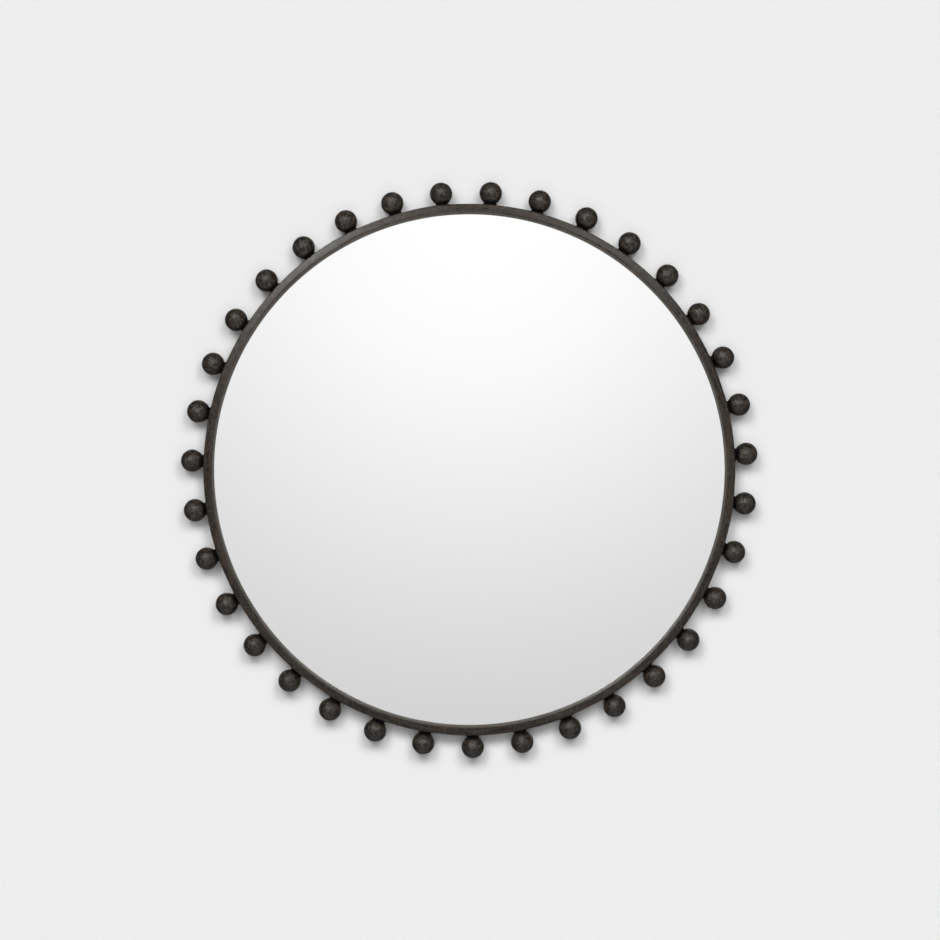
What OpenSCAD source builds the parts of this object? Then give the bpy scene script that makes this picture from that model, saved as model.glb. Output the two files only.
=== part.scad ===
// Round wall mirror with a forged iron ring edged by iron balls.
// A rebate in the ring holds the silvered glass, a foam sheet and a backing board,
// and two D-rings on the board carry the mirror on its wall hooks.
// The front faces -Y, up is +Z, and the wall is the plane y = 0.
// The origin is the centre of the ring on the wall plane.
// Every piece is drawn lying face up with the wall at z = 0, then stood upright.

/* [Overall] */
// Diameter over the outermost points of the balls
overall_d = 900; // [700:5:1200]

/* [Balls] */
// Number of balls around the ring
ball_count = 35; // [20:1:44]
// Diameter of each ball
ball_d = 35.4; // [30:0.1:38]
// Anticlockwise angle from +X to the first ball, seen from the front
ball_start_angle = 3.28; // [0:0.01:10]
// Gap between the ball and the wall behind it
ball_wall_gap = 1.3; // [0.5:0.1:3]
// Gap between the ball and the ring, bridged by the neck
ball_ring_gap = 0.35; // [0.2:0.05:4]
// Diameter of the cupped neck that joins the ball to the ring
neck_d = 19.5; // [10:0.5:21]
// Diameter of the circle on which the ball touches the neck's cup
cup_d = 14; // [10:0.5:18]
// Root gap of the weld between the neck and the ring
weld_gap = 0.05; // [0.02:0.01:0.2]

/* [Ring] */
// Width of the band seen from the front
band_w = 16.5; // [12:0.25:30]
// Thickness of the ring's outer wall behind the lip
wall_t = 4; // [2.5:0.25:6]
// Thickness of the front lip at the top of its ridge
lip_t = 5.5; // [5:0.1:9]
// Radius of the rounded edge beside the glass
sight_round = 1.6; // [1:0.1:2.5]
// Radius of the ridge along the inner part of the band
ridge_r = 7.2; // [5:0.1:8]
// Radius of the rounded outer front edge
rim_round = 1.3; // [0.5:0.1:2.5]
// Lean of the band towards the glass, where the ridge begins
sight_lean_angle = 38; // [30:1:45]
// Lean of the band outwards, where the ridge ends
ridge_lean_angle = 7; // [4:1:9]
// Lean of the band outwards, at its rounded outer edge
rim_lean_angle = 15; // [12:1:20]

/* [Glass and backing] */
// Thickness of the mirror glass
glass_t = 4; // [3:0.5:6]
// Gap between the edge of the glass and the ring's wall
glass_edge_gap = 1.25; // [0.6:0.05:3]
// Thickness of the glazing tape between the lip and the glass
tape_t = 0.5; // [0.4:0.1:2]
// Width of the glazing tape
tape_w = 6; // [3:0.5:8]
// Distance of the glazing tape from the sight edge
tape_inset = 2.5; // [1:0.5:4]
// Thickness of the foam sheet behind the glass
foam_t = 1.5; // [1:0.5:5]
// Thickness of the backing board
board_t = 9; // [8:0.5:15]
// Gap between the edge of the board and the feet of the tabs
board_edge_gap = 0.5; // [0.2:0.05:3]

/* [Setting blocks] */
// Angles of the blocks that centre the glass
block_angles = [35, 145, 250, 290];
// Arc covered by each block, in degrees
block_arc = 4; // [2:0.5:8]

/* [Retaining tabs] */
// Number of bent tabs that hold the board
tab_count = 8; // [4:1:12]
// Anticlockwise angle from +X to the first tab
tab_start_angle = 22.5; // [0:0.5:45]
// Width of a tab
tab_w = 20; // [14:1:30]
// Thickness of a tab
tab_t = 1.2; // [0.8:0.1:1.3]
// Length of a tab over the board, from the ring's wall
tab_reach = 16; // [13:0.5:30]
// Length of the tab's welded foot along the ring's wall
tab_foot = 7; // [4:0.5:8]
// Distance of the tab's screw from the tab's inner end
tab_screw_inset = 5.5; // [5:0.5:8]

/* [Hangers] */
// Distance between the two hangers
hanger_spacing = 500; // [300:10:560]
// Height of the D-ring pivots above the centre
hanger_height = 220; // [100:5:240]
// Width of a hanger strap
strap_w = 20; // [12:0.5:21]
// Thickness of a hanger strap
strap_t = 2; // [1.2:0.1:2.2]
// Length of a hanger strap below its pivot
strap_len = 62; // [58:1:90]
// Height of the pivot above the board
pivot_rise = 4.5; // [4.3:0.1:8]
// Diameter of the D-ring wire
wire_d = 4; // [3:0.1:4.2]
// Clearance round the wire in the strap's eye
eye_gap = 0.3; // [0.3:0.05:0.5]
// Thickness of metal round the strap's eye
eye_t = 1.5; // [1:0.1:2]
// Gap between the strap's eye and the wall
eye_wall_gap = 1.2; // [0.5:0.1:5]
// Width of a D-ring between the centres of its legs
d_ring_w = 30; // [29:0.5:40]
// Bend radius of the D-ring's upper corners
d_ring_corner = 4; // [3:0.1:4]
// Straight length of the D-ring's legs
d_ring_leg = 3; // [1:0.5:10]
// Number of screws in each strap
strap_screws = 3; // [2:1:3]
// Distance from the pivot to the first screw
first_screw = 32; // [30:0.5:34]
// Distance between the strap's screws
screw_pitch = 12; // [9:0.5:12]

/* [Screws] */
// Diameter of a screw shank
screw_d = 3.5; // [2.5:0.1:4]
// Diameter of a screw head
screw_head_d = 7.5; // [6:0.1:8.5]
// Height of a screw head
screw_head_h = 2.2; // [1.6:0.1:3]
// Depth of a screw in the board, including its point
screw_bite = 7; // [5:0.5:7]
// Height of the straight rim under the dome of a screw head
screw_rim = 0.6; // [0.3:0.1:1.2]
// Length of the screw's point
screw_point = 2; // [1:0.5:3]
// Clearance round a screw in its hole
screw_gap = 0.1; // [0.05:0.05:0.3]
// Width of the slots in a screw head
slot_w = 1; // [0.6:0.1:1.4]
// Depth of the slots in a screw head
slot_depth = 1.2; // [0.6:0.1:1.5]

/* [Hidden] */
// Smoothness of the large circles and of the small ones
ring_fn = 360;
part_fn = 96;
small_fn = 48;
// How far a cut runs past the face that it opens
overcut = 1;

// Distances from the wall, counted towards the front, of the faces of the stack
eye_r = wire_d / 2 + eye_gap;
knuckle_r = eye_r + eye_t;
board_back = pivot_rise + knuckle_r + eye_wall_gap;
foam_back = board_back + board_t;
glass_back = foam_back + foam_t;
tape_back = glass_back + glass_t;
lip_back = tape_back + tape_t;
ring_depth = lip_back + lip_t;
pivot_z = board_back - pivot_rise;
// Distance below the pivot at which the strap's sloping neck meets its flat leaf
strap_neck = 1.6 * knuckle_r;

// Radii, from the balls inwards
ball_r = ball_d / 2;
ball_circle_r = overall_d / 2 - ball_r;
ring_r = ball_circle_r - ball_r - ball_ring_gap;
sight_r = ring_r - band_w;
wall_r = ring_r - wall_t;
glass_r = wall_r - glass_edge_gap;

// The ball stands off the wall and sits in the cone of its neck
contact_gap = 0.05;
ball_z = ball_wall_gap + ball_r;
ball_step = 360 / ball_count;
cup_side = sqrt(ball_r * ball_r - cup_d * cup_d / 4);
cup_slope = cup_d / 2 / cup_side;
cup_touch = ball_ring_gap + ball_r - cup_side - contact_gap;
function cup_height(r) = cup_touch + cup_slope * (r - cup_d / 2);
cup_foot_r = cup_d / 2 - (cup_touch - weld_gap) / cup_slope;

// The flat back of a tab's foot meets the round wall along its two edges
tab_foot_r = sqrt(wall_r * wall_r - tab_w * tab_w / 4) - contact_gap;
tab_tip_r = wall_r - tab_reach;
tab_screw_r = tab_tip_r + tab_screw_inset;
tab_back = board_back - tab_t;
board_r = tab_foot_r - tab_t - board_edge_gap;

hole_d = screw_d + 2 * screw_gap;
strap_back = board_back - strap_t;

function ball_angle(i) = ball_start_angle + i * ball_step;
function ball_name(i) = str("ball_", i < 9 ? "0" : "", i + 1);
function tab_angle(i) = tab_start_angle + i * 360 / tab_count;
function arc(x, y, r, from, to, steps) =
    [for (i = [0:steps]) let (a = from + (to - from) * i / steps) [x + r * cos(a), y + r * sin(a)]];

// Stands what is drawn lying face up against the wall
module upright() {
    rotate([90, 0, 0]) children();
}

// Repeats a piece at each ball, with its own +X pointing outwards
module at_ball(i) {
    rotate([0, 0, ball_angle(i)]) children();
}

// Repeats a piece at each tab, with its own +X pointing outwards
module at_tabs() {
    for (i = [0:tab_count - 1])
        rotate([0, 0, tab_angle(i)]) children();
}

// Repeats a piece at one strap's screws; side is -1 on the left and 1 on the right
module at_strap_screws(side) {
    for (i = [0:strap_screws - 1])
        translate([side * hanger_spacing / 2, hanger_height - first_screw - i * screw_pitch, 0]) children();
}

// Section of the ring: a plain wall with a lip in front. From the glass outwards the lip's front rounds up
// to a ridge and falls gently to its outer edge. A lean is measured from flat, outwards.
rounded_w = sight_round * (1 - sin(sight_lean_angle)) + rim_round * (1 - sin(rim_lean_angle));
ridge_w = ridge_r * (sin(sight_lean_angle) + sin(ridge_lean_angle));
face_r = (band_w - rounded_w - ridge_w) / (sin(rim_lean_angle) - sin(ridge_lean_angle));
edge_steps = 4;
ridge_steps = 7;
face_steps = 3;
rim_steps = 5;

function lean_arc(start, r, from, to, steps) =
    arc(start.x - r * sin(from), start.y - r * cos(from), r, 90 - from, 90 - to, steps);
function without_start(points) = [for (i = [1:len(points) - 1]) points[i]];

module ring_section() {
    sight_drop = sight_round * cos(sight_lean_angle) + ridge_r * (1 - cos(sight_lean_angle));
    sight_top = [sight_r, ring_depth - sight_drop];
    edge = lean_arc(sight_top, sight_round, -90, -sight_lean_angle, edge_steps);
    ridge = lean_arc(edge[edge_steps], ridge_r, -sight_lean_angle, ridge_lean_angle, ridge_steps);
    face = lean_arc(ridge[ridge_steps], face_r, ridge_lean_angle, rim_lean_angle, face_steps);
    rim = lean_arc(face[face_steps], rim_round, rim_lean_angle, 90, rim_steps);
    polygon(concat(
        [[wall_r, 0], [wall_r, lip_back], [sight_r, lip_back]],
        edge,
        without_start(ridge),
        without_start(face),
        [for (i = [1:rim_steps - 1]) rim[i]],
        [[ring_r, rim[rim_steps].y], [ring_r, 0]]
    ));
}

module frame_ring() {
    color([0.27, 0.25, 0.24])
    upright()
    rotate_extrude($fn = ring_fn) ring_section();
}

module ball(i) {
    color([0.25, 0.24, 0.22])
    upright() at_ball(i)
    translate([ball_circle_r, 0, ball_z]) sphere(r = ball_r, $fn = part_fn);
}

// Cupped collars: each has a flat foot on the ring and a cone that the ball sits in
module ball_necks() {
    color([0.2, 0.19, 0.18])
    upright()
    for (i = [0:ball_count - 1])
        at_ball(i)
        translate([ring_r, 0, ball_z]) rotate([0, 90, 0]) rotate_extrude($fn = small_fn)
            polygon([[cup_foot_r, weld_gap], [neck_d / 2, weld_gap], [neck_d / 2, cup_height(neck_d / 2)]]);
}

// Flat ring lying between two radii
module washer(inner_r, outer_r, z, thickness) {
    translate([0, 0, z])
    difference() {
        cylinder(r = outer_r, h = thickness, $fn = ring_fn);
        translate([0, 0, -overcut]) cylinder(r = inner_r, h = thickness + 2 * overcut, $fn = ring_fn);
    }
}

module glazing_tape() {
    tape_r = sight_r + tape_inset;
    color([0.12, 0.12, 0.12])
    upright() washer(tape_r, tape_r + tape_w, tape_back, tape_t);
}

module mirror_glass() {
    color([0.9, 0.92, 0.92])
    upright()
    translate([0, 0, glass_back]) cylinder(r = glass_r, h = glass_t, $fn = ring_fn);
}

module setting_blocks() {
    color([0.1, 0.1, 0.1])
    upright()
    for (a = block_angles)
        rotate([0, 0, a - block_arc / 2])
        rotate_extrude(angle = block_arc, $fn = ring_fn)
        translate([glass_r + contact_gap, glass_back]) square([glass_edge_gap - 2 * contact_gap, glass_t]);
}

module foam_sheet() {
    color([0.82, 0.82, 0.8])
    upright()
    translate([0, 0, foam_back]) cylinder(r = board_r, h = foam_t, $fn = ring_fn);
}

// Pilot hole in the back of the board
module pilot_hole() {
    translate([0, 0, board_back - overcut])
        cylinder(d = hole_d, h = screw_bite + screw_gap + overcut, $fn = small_fn);
}

module backing_board() {
    color([0.13, 0.12, 0.11])
    upright()
    difference() {
        translate([0, 0, board_back]) cylinder(r = board_r, h = board_t, $fn = ring_fn);
        at_tabs() translate([tab_screw_r, 0, 0]) pilot_hole();
        for (side = [-1, 1]) at_strap_screws(side) pilot_hole();
    }
}

// Section of a tab, from its tip over the board to its foot on the ring's wall
module tab_section() {
    polygon(concat(
        [[tab_tip_r, tab_back]],
        arc(tab_foot_r - tab_t, board_back, tab_t, -90, 0, 6),
        [[tab_foot_r, board_back + tab_foot], [tab_foot_r - tab_t, board_back + tab_foot]],
        [[tab_foot_r - tab_t, board_back], [tab_tip_r, board_back]]
    ));
}

module retaining_tabs() {
    color([0.35, 0.35, 0.36])
    upright() at_tabs()
    difference() {
        translate([0, tab_w / 2, 0]) rotate([90, 0, 0]) linear_extrude(tab_w) tab_section();
        translate([tab_screw_r, 0, tab_back - overcut])
            cylinder(d = hole_d, h = tab_t + 2 * overcut, $fn = small_fn);
    }
}

// Pan-head screw whose head sits on the face at z = 0 and whose shank runs to z = length
module screw(length) {
    dome_h = screw_head_h - screw_rim;
    dome_r = (screw_head_d * screw_head_d / 4 + dome_h * dome_h) / (2 * dome_h);
    slot_len = screw_head_d / 2;
    difference() {
        intersection() {
            translate([0, 0, -screw_head_h]) cylinder(d = screw_head_d, h = screw_head_h, $fn = small_fn);
            translate([0, 0, dome_r - screw_head_h]) sphere(r = dome_r, $fn = part_fn);
        }
        for (turn = [0, 90])
            rotate([0, 0, turn])
            translate([-slot_len / 2, -slot_w / 2, -screw_head_h - overcut])
                cube([slot_len, slot_w, slot_depth + overcut]);
    }
    cylinder(d = screw_d, h = length - screw_point, $fn = small_fn);
    translate([0, 0, length - screw_point])
        cylinder(d1 = screw_d, d2 = screw_d / 4, h = screw_point, $fn = small_fn);
}

module tab_screws() {
    color([0.6, 0.6, 0.6])
    upright() at_tabs()
    translate([tab_screw_r, 0, tab_back]) screw(tab_t + screw_bite);
}

module hanger_screws() {
    color([0.6, 0.6, 0.6])
    upright()
    for (side = [-1, 1])
        at_strap_screws(side) translate([0, 0, strap_back]) screw(strap_t + screw_bite);
}

// Side view of a strap, with the pivot at the origin and the board towards +Y
module strap_side() {
    leaf_back = pivot_rise - strap_t;
    difference() {
        union() {
            circle(r = knuckle_r, $fn = small_fn);
            polygon([
                [0, -knuckle_r], [strap_neck, leaf_back], [strap_len, leaf_back],
                [strap_len, pivot_rise], [knuckle_r, pivot_rise], [0, knuckle_r]
            ]);
        }
        circle(r = eye_r, $fn = small_fn);
    }
}

// Front view of a strap, with square upper corners and a round lower end
module strap_face() {
    end_centre = strap_w / 2 - strap_len;
    translate([-strap_w / 2, end_centre]) square([strap_w, knuckle_r + overcut - end_centre]);
    translate([0, end_centre]) circle(d = strap_w, $fn = small_fn);
}

module hanger_strap(side) {
    color([0.6, 0.6, 0.58])
    upright()
    difference() {
        translate([side * hanger_spacing / 2, hanger_height, 0])
        intersection() {
            translate([strap_w / 2, 0, pivot_z]) rotate([90, 0, -90]) linear_extrude(strap_w) strap_side();
            linear_extrude(ring_depth) strap_face();
        }
        at_strap_screws(side) translate([0, 0, strap_back - overcut])
            cylinder(d = hole_d, h = strap_t + 2 * overcut, $fn = small_fn);
    }
}

// D-ring hanging down from its pivot at the origin
module d_ring_wire() {
    leg_x = d_ring_w / 2;
    bar_half = leg_x - d_ring_corner;
    translate([-bar_half, 0, 0]) rotate([0, 90, 0]) cylinder(d = wire_d, h = 2 * bar_half, $fn = small_fn);
    for (side = [0, 1]) mirror([side, 0, 0]) {
        translate([bar_half, -d_ring_corner, 0])
            rotate_extrude(angle = 90, $fn = part_fn)
            translate([d_ring_corner, 0]) circle(d = wire_d, $fn = small_fn);
        translate([leg_x, -d_ring_corner, 0]) rotate([90, 0, 0])
            cylinder(d = wire_d, h = d_ring_leg, $fn = small_fn);
    }
    translate([0, -d_ring_corner - d_ring_leg, 0]) rotate([0, 0, 180])
        rotate_extrude(angle = 180, $fn = part_fn) translate([leg_x, 0]) circle(d = wire_d, $fn = small_fn);
}

module d_ring(side) {
    color([0.66, 0.66, 0.64])
    upright()
    translate([side * hanger_spacing / 2, hanger_height, pivot_z]) d_ring_wire();
}

frame_ring();
for (i = [0:ball_count - 1]) ball(i);
ball_necks();
glazing_tape();
mirror_glass();
setting_blocks();
foam_sheet();
backing_board();
retaining_tabs();
tab_screws();
hanger_strap(-1);  // hanger_strap_left
hanger_strap(1);  // hanger_strap_right
d_ring(-1);  // d_ring_left
d_ring(1);  // d_ring_right
hanger_screws();
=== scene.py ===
import math

import bmesh
import bpy
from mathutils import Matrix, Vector, noise


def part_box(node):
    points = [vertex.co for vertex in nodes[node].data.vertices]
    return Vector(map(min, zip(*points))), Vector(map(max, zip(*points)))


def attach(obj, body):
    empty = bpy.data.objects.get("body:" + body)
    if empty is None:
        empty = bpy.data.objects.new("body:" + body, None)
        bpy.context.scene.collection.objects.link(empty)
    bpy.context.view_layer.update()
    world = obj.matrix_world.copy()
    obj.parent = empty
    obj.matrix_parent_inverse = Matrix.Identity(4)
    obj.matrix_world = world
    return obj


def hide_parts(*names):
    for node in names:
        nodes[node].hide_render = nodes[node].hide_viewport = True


# Round wall mirror: a forged iron ring edged with iron balls, seen straight on against a pale wall.
# Lengths are in metres and angles in radians. The front faces -Y, and the wall is the plane y = 0.
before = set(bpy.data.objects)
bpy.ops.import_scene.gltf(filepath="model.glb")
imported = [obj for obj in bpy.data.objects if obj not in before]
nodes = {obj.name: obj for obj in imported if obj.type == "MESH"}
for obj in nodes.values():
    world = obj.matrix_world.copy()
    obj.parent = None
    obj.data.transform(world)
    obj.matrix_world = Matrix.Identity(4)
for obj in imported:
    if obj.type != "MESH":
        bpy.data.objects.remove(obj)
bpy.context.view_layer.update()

BODY = "mirror"

# The photograph's view
IMAGE_SIZE = 940
FOCAL_PIXELS = 2231.5
CAMERA_AT = Vector((0.001, -3.5, -0.0006))
SENSOR_WIDTH = 0.036

# The wall behind the mirror, and the floor below it, which fades out between two distances from the mirror
WALL_TONE = 0.855
WALL_HALF_WIDTH = 3.0
WALL_HALF_HEIGHT = 2.4
WALL_GAP = 0.0005
FLOOR_HEIGHT = -1.2
FLOOR_REACH = 8.0
FLOOR_FADE = (2.6, 7.4)
FLOOR_GLOW = 0.42

# Soft round lamps that face the wall, and one behind the mirror. level is the light of each on the wall
# straight ahead, as if it were small. None is seen in reflections: the world's softboxes stand for them.
LAMPS = {
    "left_lamp": {"place": Vector((-1.35, -3.6, 2.30)), "size": 2.2, "level": 0.84},
    "right_lamp": {"place": Vector((1.28, -3.6, 2.34)), "size": 2.2, "level": 0.73},
    "front_lamp": {"place": Vector((0.0, -1.75, 0.05)), "size": 2.2, "level": 0.47},
}
BACK_LAMP = {"place": Vector((0.25, 2.4, 0.4)), "size": 1.2, "level": 0.45}

# The room's level for matt surfaces, and what glossy ones reflect: a pale ground with its brightest place
# ahead of the mirror, given by distance from there on the unit sphere, with softboxes added to it. A
# softbox has its full level within the second distance of its fade, and nothing beyond the first.
ROOM_LEVEL = 0.12
GROUND_BRIGHTEST = Vector((0.0027, -0.9927, 0.12))
GROUND_STRENGTH = 1.16
GROUND_STOPS = ((0.0, 0.935), (0.035, 0.925), (0.075, 0.885), (0.12, 0.80), (0.16, 0.725), (0.20, 0.652),
                (0.233, 0.603), (0.35, 0.52), (0.6, 0.45), (1.0, 0.33), (1.4, 0.17), (1.7, 0.09), (2.0, 0.07))
SOFTBOXES = {
    "left_softbox": {"way": Vector((-0.318, -0.857, 0.406)), "level": 18.0, "fade": (0.24, 0.06)},
    "right_softbox": {"way": Vector((0.258, -0.857, 0.446)), "level": 7.6, "fade": (0.24, 0.06)},
    "side_softbox": {"way": Vector((0.934, -0.342, -0.10)), "level": 1.6, "fade": (0.24, 0.06)},
    "low_glow": {"way": Vector((0.0, -0.14, -0.99)), "level": 0.45, "fade": (1.1, 0.35)},
    "back_glow": {"way": Vector((0.06, 0.985, 0.16)), "level": 1.2, "fade": (0.62, 0.2)},
}

# The ring's front, from the glass outwards: the radii of its bends, and how far it leans in or out
INNER_ROUND = 0.0016
INNER_TILT = math.radians(38)
RIDGE_BEND = 0.0072
RIDGE_TILT = math.radians(7)
OUTER_TILT = math.radians(15)
OUTER_ROUND = 0.0013

# The cut of the ring's hidden corners, the rows of points down its outer side as shares of its depth,
# and the steps of each bend and round the ring
CORNER_CUT = 0.0004
SIDE_ROWS = (0.6, 0.35, 0.15)
BEND_STEPS = 10
RING_STEPS = 720

# How far the forging strays from true, always inwards of the true shape
RIM_WANDER = 0.0008
SIGHT_WANDER = 0.0003
RING_DENT = 0.00025

# The ring has a painted highlight, for the light the glass throws back on it, from the first to the second
# distance outside its inner edge. The balls are painted black as shade from the first to the second distance
# outside its outer edge.
EDGE_HIGHLIGHT_FADE = (0.0040, 0.0008)
CORNER_SHADE_FADE = (0.0078, 0.0022)

# Wave numbers of the ring's brushing, along the ring and across its band
STREAKS_ALONG = 14.0
STREAKS_ACROSS = 620.0

# How deep a ball's dents are, as a share of its radius
BALL_DENT = 0.011

# A weld: its radius, how far it sinks into the ring, the depth of its ripples and how many fit in a metre
# off the ring, and how far its black foot spreads along the ring and up to which height, as painted shade
# beside the ball. Its side is given by the share of its radius and the height off the ring, and its hollow
# by the share of its radius and the depth inside the ball.
WELD_RADIUS = 0.00975
WELD_CORE = 0.4
WELD_SINK = 0.0008
WELD_RIPPLE = 0.0004
WELD_RIPPLES = 200
WELD_SHADE_FLARE = 0.0014
WELD_SHADE_FLARE_HEIGHT = 0.0033
WELD_SIDE = ((1.0, 0.0008), (0.985, 0.0016), (0.95, 0.0023))
WELD_HOLLOW = ((0.90, 0.0001), (0.80, 0.0004), (WELD_CORE, 0.0003))
WELD_TURNS = 40


class Shader:
    """A material's node tree, built one node at a time around one Principled shader."""
    library = "materials"
    last_node = "Principled BSDF"

    def __init__(self, name):
        self.material = getattr(bpy.data, self.library).new(name)
        self.material.use_nodes = True
        self.tree = self.material.node_tree
        self.surface = self.tree.nodes[self.last_node]

    def add(self, kind, inputs=None, **settings):
        """A new node; inputs maps a socket's name or number to a value or to another node's socket."""
        made = self.tree.nodes.new("ShaderNode" + kind)
        for key, value in settings.items():
            setattr(made, key, value)
        for key, value in (inputs or {}).items():
            self.plug(made.inputs[key], value)
        return made

    def plug(self, socket, value):
        if isinstance(value, bpy.types.NodeSocket):
            self.tree.links.new(value, socket)
        else:
            socket.default_value = value

    def place(self):
        """The point on the object, in metres."""
        return self.add("TexCoord").outputs["Object"]

    def noise(self, vector, scale, detail=4.0, roughness=0.55, distortion=0.0, w=None):
        inputs = {"Vector": vector, "Scale": scale, "Detail": detail, "Roughness": roughness,
                  "Distortion": distortion}
        if w is None:
            return self.add("TexNoise", inputs).outputs["Fac"]
        inputs["W"] = w
        return self.add("TexNoise", inputs, noise_dimensions="4D").outputs["Fac"]

    def math(self, operation, a, b=0.0):
        return self.add("Math", {0: a, 1: b}, operation=operation).outputs[0]

    def spread(self, value, low, high, to_low=0.0, to_high=1.0):
        """value, stretched so that low becomes to_low and high becomes to_high, and held between them."""
        inputs = {"Value": value, "From Min": low, "From Max": high, "To Min": to_low, "To Max": to_high}
        return self.add("MapRange", inputs).outputs[0]

    def mix(self, share, a, b):
        return self.add("Mix", {0: share, 6: a, 7: b}, data_type="RGBA").outputs[2]

    def bump(self, height, distance):
        return self.add("Bump", {"Height": height, "Distance": distance, "Strength": 1.0}).outputs["Normal"]

    def finish(self, **inputs):
        """Sets the Principled shader's sockets, with a space in a name written as an underscore."""
        for key, value in inputs.items():
            self.plug(self.surface.inputs[key.replace("_", " ")], value)
        return self.material


class RoomShader(Shader):
    """The same for the world's node tree, whose last node is its output."""
    library = "worlds"
    last_node = "World Output"


def colour(red, green, blue):
    return (red, green, blue, 1.0)


def grey(level):
    return colour(level, level, level)


def waxed_iron(shader, place, tone):
    """Colour, height and polish of dark waxed iron: a cast grain with brown and cool tints."""
    def shade(red, green, blue):
        return colour(tone * red, tone * green, tone * blue)

    tint = shader.noise(place, 30.0, detail=3.0)
    patch = shader.noise(place, 230.0, detail=4.0, roughness=0.62, distortion=0.5)
    grain = shader.noise(place, 700.0, detail=4.0, roughness=0.7)
    speck = shader.noise(place, 420.0, detail=3.0, roughness=0.6)
    base = shader.mix(shader.spread(tint, 0.38, 0.62), shade(0.020, 0.0160, 0.0135),
                      shade(0.024, 0.0175, 0.0110))
    base = shader.mix(shader.spread(patch, 0.51, 0.64), base, shade(0.062, 0.051, 0.041))
    base = shader.mix(shader.spread(patch, 0.49, 0.40), base, shade(0.003, 0.002, 0.002))
    base = shader.mix(shader.spread(grain, 0.52, 0.66, 0.0, 0.55), base, shade(0.004, 0.003, 0.002))
    base = shader.mix(shader.spread(speck, 0.62, 0.70, 0.0, 0.8), base, shade(0.13, 0.113, 0.098))
    height = shader.math("ADD", shader.math("MULTIPLY", grain, 0.3), patch)
    return base, height, shader.math("ADD", patch, grain)


def from_axis(shader, place):
    """The point's three coordinates, and its distance from the mirror's axis."""
    axes = shader.add("SeparateXYZ", {0: place})
    flat = shader.add("CombineXYZ", {"X": axes.outputs["X"], "Z": axes.outputs["Z"]}).outputs[0]
    return axes, shader.add("VectorMath", {0: flat}, operation="LENGTH").outputs["Value"]


def ring_iron(sight):
    """The ring's iron, brushed along the ring, with a painted highlight where it rounds in to the glass, for
    the light the glass throws back on it.
    """
    shader = Shader("ring_iron")
    place = shader.place()
    base, height, polish = waxed_iron(shader, place, 0.6)
    axes, radius = from_axis(shader, place)
    streak = brushed_streaks(shader, axes, radius)
    base = shader.mix(shader.spread(streak, 0.47, 0.62, 0.0, 0.6), base, colour(0.050, 0.035, 0.024))
    base = shader.mix(shader.spread(streak, 0.5, 0.34, 0.0, 0.45), base, colour(0.005, 0.004, 0.003))
    # Lighter colour near the inner edge: a painted highlight for light thrown back from the glass.
    painted_edge_highlight = shader.math("MULTIPLY", shader.spread(radius, sight + EDGE_HIGHLIGHT_FADE[0], sight + EDGE_HIGHLIGHT_FADE[1]),
                         shader.spread(streak, 0.3, 0.6, 0.45, 0.95))
    base = shader.mix(painted_edge_highlight, base, colour(0.128, 0.120, 0.109))
    height = shader.math("ADD", height, shader.math("MULTIPLY", streak, 0.8))
    polish = shader.math("ADD", shader.math("MULTIPLY", polish, 0.4), shader.math("MULTIPLY", streak, 1.2))
    along = shader.add("Tangent", direction_type="RADIAL", axis="Y").outputs[0]
    return shader.finish(Base_Color=base, Roughness=shader.spread(polish, 0.8, 1.2, 0.24, 0.46),
                         Metallic=0.05, Specular_IOR_Level=0.36, Anisotropic=0.75,
                         Anisotropic_Rotation=0.25, Tangent=along, Normal=shader.bump(height, 0.00016))


def ball_iron(rim):
    """The balls' iron, with painted shade where each ball meets the ring: black there, and without
    reflections.
    """
    shader = Shader("ball_iron")
    place = shader.place()
    base, height, polish = waxed_iron(shader, place, 0.96)
    radius = from_axis(shader, place)[1]
    # Painted shade: black and unreflecting near the ring, for the shade where ball and ring meet.
    painted_corner_shade = shader.spread(radius, rim + CORNER_SHADE_FADE[0], rim + CORNER_SHADE_FADE[1])
    base = shader.mix(painted_corner_shade, base, grey(0.003))
    roughness = shader.math("ADD", shader.spread(polish, 0.80, 1.20, 0.25, 0.45),
                            shader.math("MULTIPLY", painted_corner_shade, 0.4))
    return shader.finish(Base_Color=base, Roughness=roughness, Metallic=painted_corner_shade, Specular_IOR_Level=0.39,
                         Normal=shader.bump(height, 0.0008))


def brushed_streaks(shader, axes, radius):
    """Noise drawn out along the ring: it changes slowly round the ring and fast across its band."""
    vector = shader.add("CombineXYZ", {
        "X": shader.math("MULTIPLY", axes.outputs["X"], STREAKS_ALONG),
        "Y": shader.math("MULTIPLY", radius, STREAKS_ACROSS),
        "Z": shader.math("MULTIPLY", axes.outputs["Z"], STREAKS_ALONG),
    }).outputs[0]
    across = shader.math("MULTIPLY", axes.outputs["Y"], STREAKS_ACROSS)
    return shader.noise(vector, 1.0, detail=4.0, roughness=0.6, w=across)


def shade_black_weld():
    """Weld metal, lumpy, coloured near black and unreflecting as painted shade where ball and ring meet."""
    shader = Shader("weld_iron")
    place = shader.place()
    lumps = shader.noise(place, 420.0, detail=3.0)
    grain = shader.noise(place, 1400.0, detail=3.0)
    # Near-black base: painted shade for where ball and ring meet.
    base = shader.mix(shader.spread(lumps, 0.35, 0.7), grey(0.004), colour(0.012, 0.010, 0.009))
    height = shader.math("ADD", lumps, shader.math("MULTIPLY", grain, 0.4))
    return shader.finish(Base_Color=base, Roughness=shader.spread(grain, 0.3, 0.7, 0.7, 0.85),
                         Metallic=0.9, Specular_IOR_Level=0.2, Normal=shader.bump(height, 0.0003))


def silvered_glass():
    """Clear float glass over silver, with a breath of haze that only close views show."""
    shader = Shader("silvered_glass")
    haze = shader.noise(shader.place(), 9.0, detail=5.0, roughness=0.6)
    base = shader.mix(haze, colour(0.930, 0.932, 0.930), colour(0.926, 0.930, 0.928))
    roughness = shader.spread(haze, 0.45, 0.75, 0.0, 0.006)
    return shader.finish(Base_Color=base, Roughness=roughness, Metallic=1.0)


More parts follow.
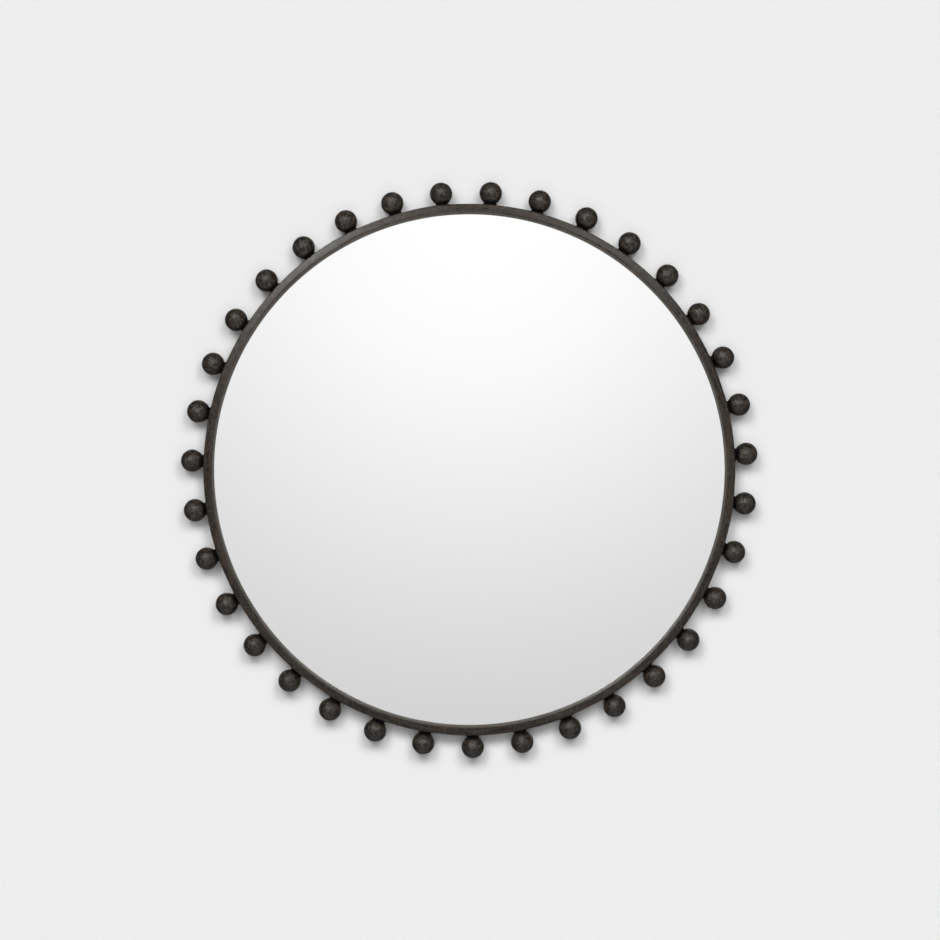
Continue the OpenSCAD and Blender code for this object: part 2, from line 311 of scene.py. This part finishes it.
def zinc_plate(name, warmth, brushed_along=(1.0, 1.0, 1.0)):
    """Bright zinc plating with faint spangle, fine scratches and a trace of warmth."""
    shader = Shader(name)
    place = shader.place()
    drawn = shader.add("VectorMath", {0: place, 1: brushed_along}, operation="MULTIPLY").outputs[0]
    scratch = shader.noise(drawn, 1600.0, detail=3.0, roughness=0.7)
    cloud = shader.noise(place, 130.0, detail=4.0)
    dull = colour(0.38, 0.375, 0.36 - 0.05 * warmth)
    bright = colour(0.60, 0.59, 0.57 - 0.10 * warmth)
    base = shader.mix(shader.spread(cloud, 0.3, 0.7), dull, bright)
    base = shader.mix(shader.spread(scratch, 0.55, 0.75, 0.0, 0.35), base, colour(0.24, 0.235, 0.225))
    roughness = shader.spread(shader.math("ADD", cloud, scratch), 0.7, 1.3, 0.30, 0.52)
    return shader.finish(Base_Color=base, Roughness=roughness, Metallic=1.0,
                         Normal=shader.bump(scratch, 0.00006))


def black_paint(name):
    """Thin black paint on steel, worn grey in small spots."""
    shader = Shader(name)
    place = shader.place()
    orange_peel = shader.noise(place, 900.0, detail=2.0)
    wear = shader.noise(place, 260.0, detail=6.0, roughness=0.7)
    base = shader.mix(shader.spread(wear, 0.62, 0.72, 0.0, 0.7), colour(0.018, 0.018, 0.019),
                      colour(0.12, 0.118, 0.115))
    return shader.finish(Base_Color=base, Roughness=shader.spread(wear, 0.3, 0.7, 0.38, 0.55),
                         Normal=shader.bump(orange_peel, 0.00005))


def black_board():
    """Fibreboard painted matt black: a fine fuzzy tooth, roller marks and a few brown rubs."""
    shader = Shader("black_board")
    place = shader.place()
    fuzz = shader.noise(place, 1300.0, detail=5.0, roughness=0.75)
    roller = shader.add("VectorMath", {0: place, 1: (60.0, 1.0, 7.0)}, operation="MULTIPLY").outputs[0]
    roller = shader.noise(roller, 1.0, detail=4.0)
    rub = shader.noise(place, 34.0, detail=8.0, roughness=0.72)
    base = shader.mix(roller, colour(0.014, 0.0135, 0.013), colour(0.024, 0.023, 0.022))
    base = shader.mix(shader.spread(rub, 0.66, 0.76, 0.0, 0.5), base, colour(0.075, 0.052, 0.034))
    base = shader.mix(shader.spread(fuzz, 0.55, 0.8, 0.0, 0.5), base, colour(0.045, 0.043, 0.041))
    return shader.finish(Base_Color=base, Roughness=shader.spread(fuzz, 0.3, 0.7, 0.62, 0.85),
                         Specular_IOR_Level=0.3, Normal=shader.bump(fuzz, 0.00015))


def soft_foam(name, dark, pale, pore):
    """Closed-cell foam or rubber: two close tones and pores of the given scale."""
    shader = Shader(name)
    pores = shader.add("TexVoronoi", {"Vector": shader.place(), "Scale": pore}).outputs["Distance"]
    base = shader.mix(shader.spread(pores, 0.1, 0.6), dark, pale)
    return shader.finish(Base_Color=base, Roughness=0.85, Normal=shader.bump(pores, 0.0001))


def light_on_wall(shader, axes, lamp):
    """How much light a round lamp that faces the wall sheds on each point of it."""
    place = lamp["place"]
    ahead = (place.y - WALL_GAP) ** 2
    disc = (lamp["size"] / 2) ** 2
    aside = shader.math("POWER", shader.math("SUBTRACT", axes.outputs["X"], place.x), 2.0)
    above = shader.math("POWER", shader.math("SUBTRACT", axes.outputs["Z"], place.z), 2.0)
    away = shader.math("ADD", aside, above)
    wide = shader.math("POWER", shader.math("ADD", away, ahead + disc), 2.0)
    root = shader.math("SQRT", shader.math("SUBTRACT", wide, shader.math("MULTIPLY", away, 4 * disc)))
    lost = shader.math("DIVIDE", shader.math("ADD", away, ahead - disc), root)
    return shader.math("MULTIPLY", shader.math("SUBTRACT", 1.0, lost), 0.5 * lamp["level"] * ahead / disc)


def wall_paint():
    """Pale flat wall. Its colour makes up for the lamps' falloff, so that it looks even all over and
    holds the object's shadows. Its back is clear."""
    shader = Shader("stage_wall")
    axes = shader.add("SeparateXYZ", {0: shader.place()})
    light = ROOM_LEVEL
    for lamp in LAMPS.values():
        light = shader.math("ADD", light_on_wall(shader, axes, lamp), light)
    tone = shader.math("DIVIDE", WALL_TONE, light)
    paint = shader.add("CombineColor", {0: tone, 1: tone, 2: tone})
    matt = shader.add("BsdfDiffuse", {"Color": paint.outputs[0]})
    clear = shader.add("BsdfTransparent")
    backfacing = shader.add("NewGeometry").outputs["Backfacing"]
    both = shader.add("MixShader", {0: backfacing, 1: matt.outputs[0], 2: clear.outputs[0]})
    shader.tree.nodes.remove(shader.surface)
    shader.tree.links.new(both.outputs[0], shader.tree.nodes["Material Output"].inputs["Surface"])
    return shader.material


def floor_paint():
    """Pale floor with a faint mottle, which glows a little for the camera, still takes shadows and fades
    into the background far from the mirror."""
    shader = Shader("stage_floor")
    place = shader.place()
    mottle = shader.noise(place, 3.0, detail=3.0)
    base = shader.mix(mottle, colour(0.48, 0.48, 0.475), colour(0.52, 0.52, 0.515))
    glow = shader.math("MULTIPLY", shader.add("LightPath").outputs["Is Camera Ray"], FLOOR_GLOW)
    far = shader.add("VectorMath", {0: place}, operation="LENGTH").outputs["Value"]
    faded = shader.add("MixShader", {0: shader.spread(far, *FLOOR_FADE), 1: shader.surface.outputs[0],
                                     2: shader.add("BsdfTransparent").outputs[0]})
    shader.plug(shader.tree.nodes["Material Output"].inputs["Surface"], faded.outputs[0])
    return shader.finish(Base_Color=base, Roughness=0.8, Specular_IOR_Level=0.2,
                         Emission_Color=colour(1.0, 1.0, 0.99), Emission_Strength=glow)


def add_mesh(name, points, faces, material):
    """A smooth-shaded mesh object whose points are already in the frame."""
    mesh = bpy.data.meshes.new(name)
    mesh.from_pydata(points, [], faces)
    mesh.shade_smooth()
    mesh.materials.append(material)
    made = bpy.data.objects.new(name, mesh)
    bpy.context.scene.collection.objects.link(made)
    return made


def dress(piece, slot, *replaced):
    """Ties a new piece to the mirror's body and hides the CAD nodes it stands for. The material slot is not
    used.
    """
    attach(piece, BODY)
    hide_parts(*replaced)


def arc(centre, radius, start, end, steps):
    """Points along an arc, its two ends among them."""
    turns = [start + (end - start) * i / steps for i in range(steps + 1)]
    return [(centre[0] + radius * math.cos(a), centre[1] + radius * math.sin(a)) for a in turns]


def around(radius, depth, angle):
    """The point at that radius from the mirror's centre and that height off the wall."""
    return Vector((radius * math.cos(angle), -depth, radius * math.sin(angle)))


def stray(point, wavelength, seed):
    """Smooth noise from 0 to 1 that changes over about one wavelength."""
    value = noise.noise(point / wavelength + Vector((seed, -seed, 0.5 * seed)))
    return min(1.0, max(0.0, 0.5 + 0.7 * value))


def closed_strip(rows, columns):
    """Quads over a grid of points that closes on itself both ways."""
    faces = []
    for i in range(rows):
        for j in range(columns):
            k = (i + 1) % rows
            m = (j + 1) % columns
            faces.append((i * columns + j, i * columns + m, k * columns + m, k * columns + j))
    return faces


def ring_sizes():
    """The ring's radii and depths, measured on its CAD node."""
    spots = [(math.hypot(v.co.x, v.co.z), -v.co.y) for v in nodes["frame_ring"].data.vertices]
    near = 0.0001
    sight = min(r for r, _ in spots)
    rim = max(r for r, _ in spots)
    depth = max(d for _, d in spots)
    wall = min(r for r, d in spots if d < near)
    lip = min(d for r, d in spots if r < wall - near)
    return sight, rim, depth, wall, lip


def ring_profile():
    """Points round the ring's section, each as (radius, depth, how free the forging is there).

    The front rounds up from the glass to a ridge, and falls gently outwards from there.
    """
    sight, rim, depth, wall, lip = ring_sizes()
    up = math.pi / 2
    bends = [(INNER_ROUND, -up, -INNER_TILT), (RIDGE_BEND, -INNER_TILT, RIDGE_TILT),
             (0.0, RIDGE_TILT, OUTER_TILT), (OUTER_ROUND, OUTER_TILT, up)]
    bent = sum(bend * (math.sin(last) - math.sin(first)) for bend, first, last in bends)
    gentle = (rim - sight - bent) / (math.sin(OUTER_TILT) - math.sin(RIDGE_TILT))
    bends[2] = (gentle, RIDGE_TILT, OUTER_TILT)
    front = [(sight, 0.0)]
    for bend, first, last in bends:
        out, high = front[-1]
        centre = (out - bend * math.sin(first), high - bend * math.cos(first))
        front += arc(centre, bend, up - first, up - last, BEND_STEPS)[1:]
    top = max(high for out, high in front)
    front = [(out, depth + high - top) for out, high in front]
    points = [(wall, 0.0, 0.0), (wall, lip, 0.0), (sight + CORNER_CUT, lip, 0.0),
              (sight, lip + CORNER_CUT, 0.3)]
    points += [(r, d, 1.0) for r, d in front]
    points += [(rim, depth * share, 1.0) for share in SIDE_ROWS]
    points += [(rim, 2 * CORNER_CUT, 0.6), (rim - 2 * CORNER_CUT, 0.0, 0.0)]
    return points, sight, rim, depth


def build_ring(material):
    """The forged ring: its section swept round, with edges that wander and a face with shallow dents."""
    profile, sight, rim, depth = ring_profile()
    points = []
    for i in range(RING_STEPS):
        angle = math.tau * i / RING_STEPS
        beside = around(sight, 0.0, angle)
        pull_in = RIM_WANDER * stray(beside, wavelength=0.085, seed=3.1)
        push_out = SIGHT_WANDER * stray(beside, wavelength=0.065, seed=7.7)
        for radius, height, freedom in profile:
            across = (radius - sight) / (rim - sight)
            shift = (1 - across) * push_out - across * pull_in
            spot = around(radius, height, angle)
            dent = RING_DENT * stray(spot, wavelength=0.011, seed=11.3) * height / depth
            points.append(around(radius + freedom * shift, height - freedom * dent, angle))
    ring = add_mesh("forged_ring", points, closed_strip(RING_STEPS, len(profile)), material)
    ring.data.set_sharp_from_angle(angle=math.radians(40))
    dress(ring, "ring_iron", "frame_ring")


def build_ball(node, material):
    """A cast ball, a little dented all over, on the centre of its CAD node."""
    low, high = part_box(node)
    centre = (low + high) / 2
    radius = (high.z - low.z) / 2
    seed = float(node.split("_")[1])
    grid = bmesh.new()
    bmesh.ops.create_icosphere(grid, subdivisions=5, radius=1.0)
    for vertex in grid.verts:
        way = vertex.co.normalized()
        broad = stray(way, wavelength=1.1, seed=seed)
        fine = stray(way, wavelength=0.30, seed=seed + 40.0)
        vertex.co = centre + way * radius * (1 - BALL_DENT * (0.7 * broad + 0.3 * fine))
    mesh = bpy.data.meshes.new(node)
    grid.to_mesh(mesh)
    grid.free()
    mesh.shade_smooth()
    mesh.materials.append(material)
    ball = bpy.data.objects.new("cast_" + node, mesh)
    bpy.context.scene.collection.objects.link(ball)
    dress(ball, "ball_iron", node)


def weld_section(ball_radius, gap):
    """Half section of a weld, as (distance from its axis, height off the ring)."""
    section = [(WELD_CORE * WELD_RADIUS, -WELD_SINK), (WELD_RADIUS, -WELD_SINK)]
    section += [(share * WELD_RADIUS, height) for share, height in WELD_SIDE]
    for share, inside in WELD_HOLLOW:
        r = share * WELD_RADIUS
        ball_height = gap + ball_radius - math.sqrt(ball_radius ** 2 - r ** 2)
        section.append((r, ball_height + inside))
    return section


def build_welds(balls, rim, material):
    """One lumpy bead of weld between the ring and each ball."""
    points = []
    faces = []
    back = Vector((0.0, 1.0, 0.0))
    for number, node in enumerate(balls):
        low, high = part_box(node)
        centre = (low + high) / 2
        out = Vector((centre.x, 0.0, centre.z)).normalized()
        side = out.cross(back)
        radius = (high.z - low.z) / 2
        gap = Vector((centre.x, centre.z)).length - radius - rim
        section = weld_section(radius, gap)
        foot = out * rim + Vector((0.0, centre.y, 0.0))
        start = len(points)
        for i in range(WELD_TURNS):
            angle = math.tau * i / WELD_TURNS
            sideways = math.cos(angle)
            spoke = side * sideways + back * math.sin(angle)
            for r, h in section:
                share = r / WELD_RADIUS
                uneven = stray(spoke + out * h * WELD_RIPPLES, wavelength=0.35, seed=float(number))
                ripple = WELD_RIPPLE * uneven * share
                # The foot spreads sideways along the ring in black: painted shade beside the ball.
                shade_flare = WELD_SHADE_FLARE * max(0.0, 1 - h / WELD_SHADE_FLARE_HEIGHT) ** 2 * sideways ** 2 * share
                along = side * math.copysign(shade_flare, sideways)
                points.append(foot + spoke * (r - ripple) + along + out * h)
        faces += [tuple(start + k for k in face) for face in closed_strip(WELD_TURNS, len(section))]
    welds = add_mesh("weld_beads", points, faces, material)
    welds.data.set_sharp_from_angle(angle=math.radians(60))
    dress(welds, "weld_iron", "ball_necks")


def paint(material, *names):
    """Gives CAD nodes that stay in view their material."""
    for name in names:
        mesh = nodes[name].data
        mesh.materials.clear()
        mesh.materials.append(material)


def soften(width, *names):
    """Rounds the sharp edges of CAD nodes that stay in view."""
    for name in names:
        bevel = nodes[name].modifiers.new("soft_edges", "BEVEL")
        bevel.width = width
        bevel.segments = 2
        bevel.limit_method = "ANGLE"
        bevel.angle_limit = math.radians(50)


def build_stage():
    """The wall and the floor, which the camera sees and no reflection shows."""
    y = WALL_GAP
    corners = [(-WALL_HALF_WIDTH, y, -WALL_HALF_HEIGHT), (WALL_HALF_WIDTH, y, -WALL_HALF_HEIGHT),
               (WALL_HALF_WIDTH, y, WALL_HALF_HEIGHT), (-WALL_HALF_WIDTH, y, WALL_HALF_HEIGHT)]
    wall = add_mesh("wall", corners, [(0, 1, 2, 3)], wall_paint())
    wall.visible_diffuse = False
    wall.visible_glossy = False
    wall.visible_transmission = False
    wall.visible_shadow = False
    corners = [(-FLOOR_REACH, -FLOOR_REACH, FLOOR_HEIGHT), (FLOOR_REACH, -FLOOR_REACH, FLOOR_HEIGHT),
               (FLOOR_REACH, FLOOR_REACH, FLOOR_HEIGHT), (-FLOOR_REACH, FLOOR_REACH, FLOOR_HEIGHT)]
    floor = add_mesh("floor", corners, [(0, 1, 2, 3)], floor_paint())
    floor.visible_diffuse = False
    floor.visible_glossy = False


def build_world():
    """A pale ground for the camera, the reflected room for glossy rays, a plain level for the rest."""
    shader = RoomShader("room")
    room = shader.add("Background", {"Color": grey(ROOM_LEVEL)})
    seen = shader.add("Background", {"Color": grey(WALL_TONE)})
    reflected = shader.add("Background", {"Color": grey(1.0), "Strength": reflected_room(shader)})
    path = shader.add("LightPath")
    for_gloss = shader.add("MixShader", {0: path.outputs["Is Glossy Ray"], 1: room.outputs[0],
                                         2: reflected.outputs[0]})
    for_camera = shader.add("MixShader", {0: path.outputs["Is Camera Ray"], 1: for_gloss.outputs[0],
                                          2: seen.outputs[0]})
    shader.plug(shader.surface.inputs["Surface"], for_camera.outputs[0])
    bpy.context.scene.world = shader.material


def reflected_room(shader):
    """How bright the room is in each direction, for reflections: its gradient and the softboxes."""
    way = shader.add("TexCoord").outputs["Generated"]
    far = shader.add("VectorMath", {0: way, 1: GROUND_BRIGHTEST}, operation="DISTANCE").outputs["Value"]
    ramp = shader.add("ValToRGB", {"Fac": shader.math("MULTIPLY", far, 0.5)})
    stops = ramp.color_ramp.elements
    for stop, (away, level) in zip(stops, (GROUND_STOPS[0], GROUND_STOPS[-1])):
        stop.position = away / 2
        stop.color = grey(level)
    for away, level in GROUND_STOPS[1:-1]:
        stops.new(away / 2).color = grey(level)
    bright = shader.math("MULTIPLY", ramp.outputs["Color"], GROUND_STRENGTH)
    for softbox in SOFTBOXES.values():
        off = shader.add("VectorMath", {0: way, 1: softbox["way"]}, operation="DISTANCE").outputs["Value"]
        fade_end, fade_start = softbox["fade"]
        glow = shader.add("MapRange", {"Value": off, "From Min": fade_end, "From Max": fade_start,
                                       "To Max": softbox["level"]}, interpolation_type="SMOOTHSTEP")
        bright = shader.math("ADD", bright, glow.outputs[0])
    return bright


def add_lamp(name, lamp, target):
    """A round area lamp that faces a target, hidden from the camera and from reflections. A small lamp
    of this power would light a surface at the target to its level."""
    place = lamp["place"]
    data = bpy.data.lights.new(name, "AREA")
    data.shape = "DISK"
    data.size = lamp["size"]
    data.energy = lamp["level"] * math.pi ** 2 * (target - place).length_squared
    made = bpy.data.objects.new(name, data)
    made.location = place
    made.rotation_euler = (target - place).to_track_quat("-Z", "Y").to_euler()
    made.visible_camera = False
    made.visible_glossy = False
    bpy.context.scene.collection.objects.link(made)


def build_lamps():
    for name, lamp in LAMPS.items():
        add_lamp(name, lamp, Vector((lamp["place"].x, 0.0, lamp["place"].z)))
    add_lamp("back_lamp", BACK_LAMP, Vector((0.0, 0.0, 0.0)))


def build_camera():
    data = bpy.data.cameras.new("camera")
    data.sensor_width = SENSOR_WIDTH * 1000
    data.lens = FOCAL_PIXELS / IMAGE_SIZE * data.sensor_width
    camera = bpy.data.objects.new("camera", data)
    camera.location = CAMERA_AT
    camera.rotation_euler = (math.pi / 2, 0.0, 0.0)
    bpy.context.scene.collection.objects.link(camera)
    bpy.context.scene.camera = camera


def build_object():
    balls = sorted(name for name in nodes if name.startswith("ball_") and name != "ball_necks")
    sight, rim = ring_sizes()[:2]
    build_ring(ring_iron(sight))
    cast_iron = ball_iron(rim)
    for node in balls:
        build_ball(node, cast_iron)
    build_welds(balls, rim, shade_black_weld())
    paint(silvered_glass(), "mirror_glass")
    paint(soft_foam("black_foam_tape", grey(0.012), grey(0.03), pore=1500.0), "glazing_tape")
    rubber = soft_foam("black_rubber", grey(0.015), colour(0.028, 0.027, 0.026), pore=2500.0)
    paint(rubber, "setting_blocks")
    white_foam = soft_foam("white_foam", colour(0.66, 0.66, 0.64), colour(0.82, 0.82, 0.80), pore=900.0)
    paint(white_foam, "foam_sheet")
    paint(black_board(), "backing_board")
    paint(black_paint("tab_steel"), "retaining_tabs")
    strap_steel = zinc_plate("strap_steel", warmth=0.2, brushed_along=(1.0, 1.0, 0.12))
    paint(strap_steel, "hanger_strap_left", "hanger_strap_right")
    paint(zinc_plate("wire_steel", warmth=0.0), "d_ring_left", "d_ring_right")
    paint(zinc_plate("screw_steel", warmth=1.0), "tab_screws", "hanger_screws")
    soften(0.0003, "hanger_strap_left", "hanger_strap_right")
    soften(0.0002, "retaining_tabs")


build_camera()
build_stage()
build_world()
build_lamps()
build_object()
bpy.context.scene.view_settings.view_transform = "Standard"
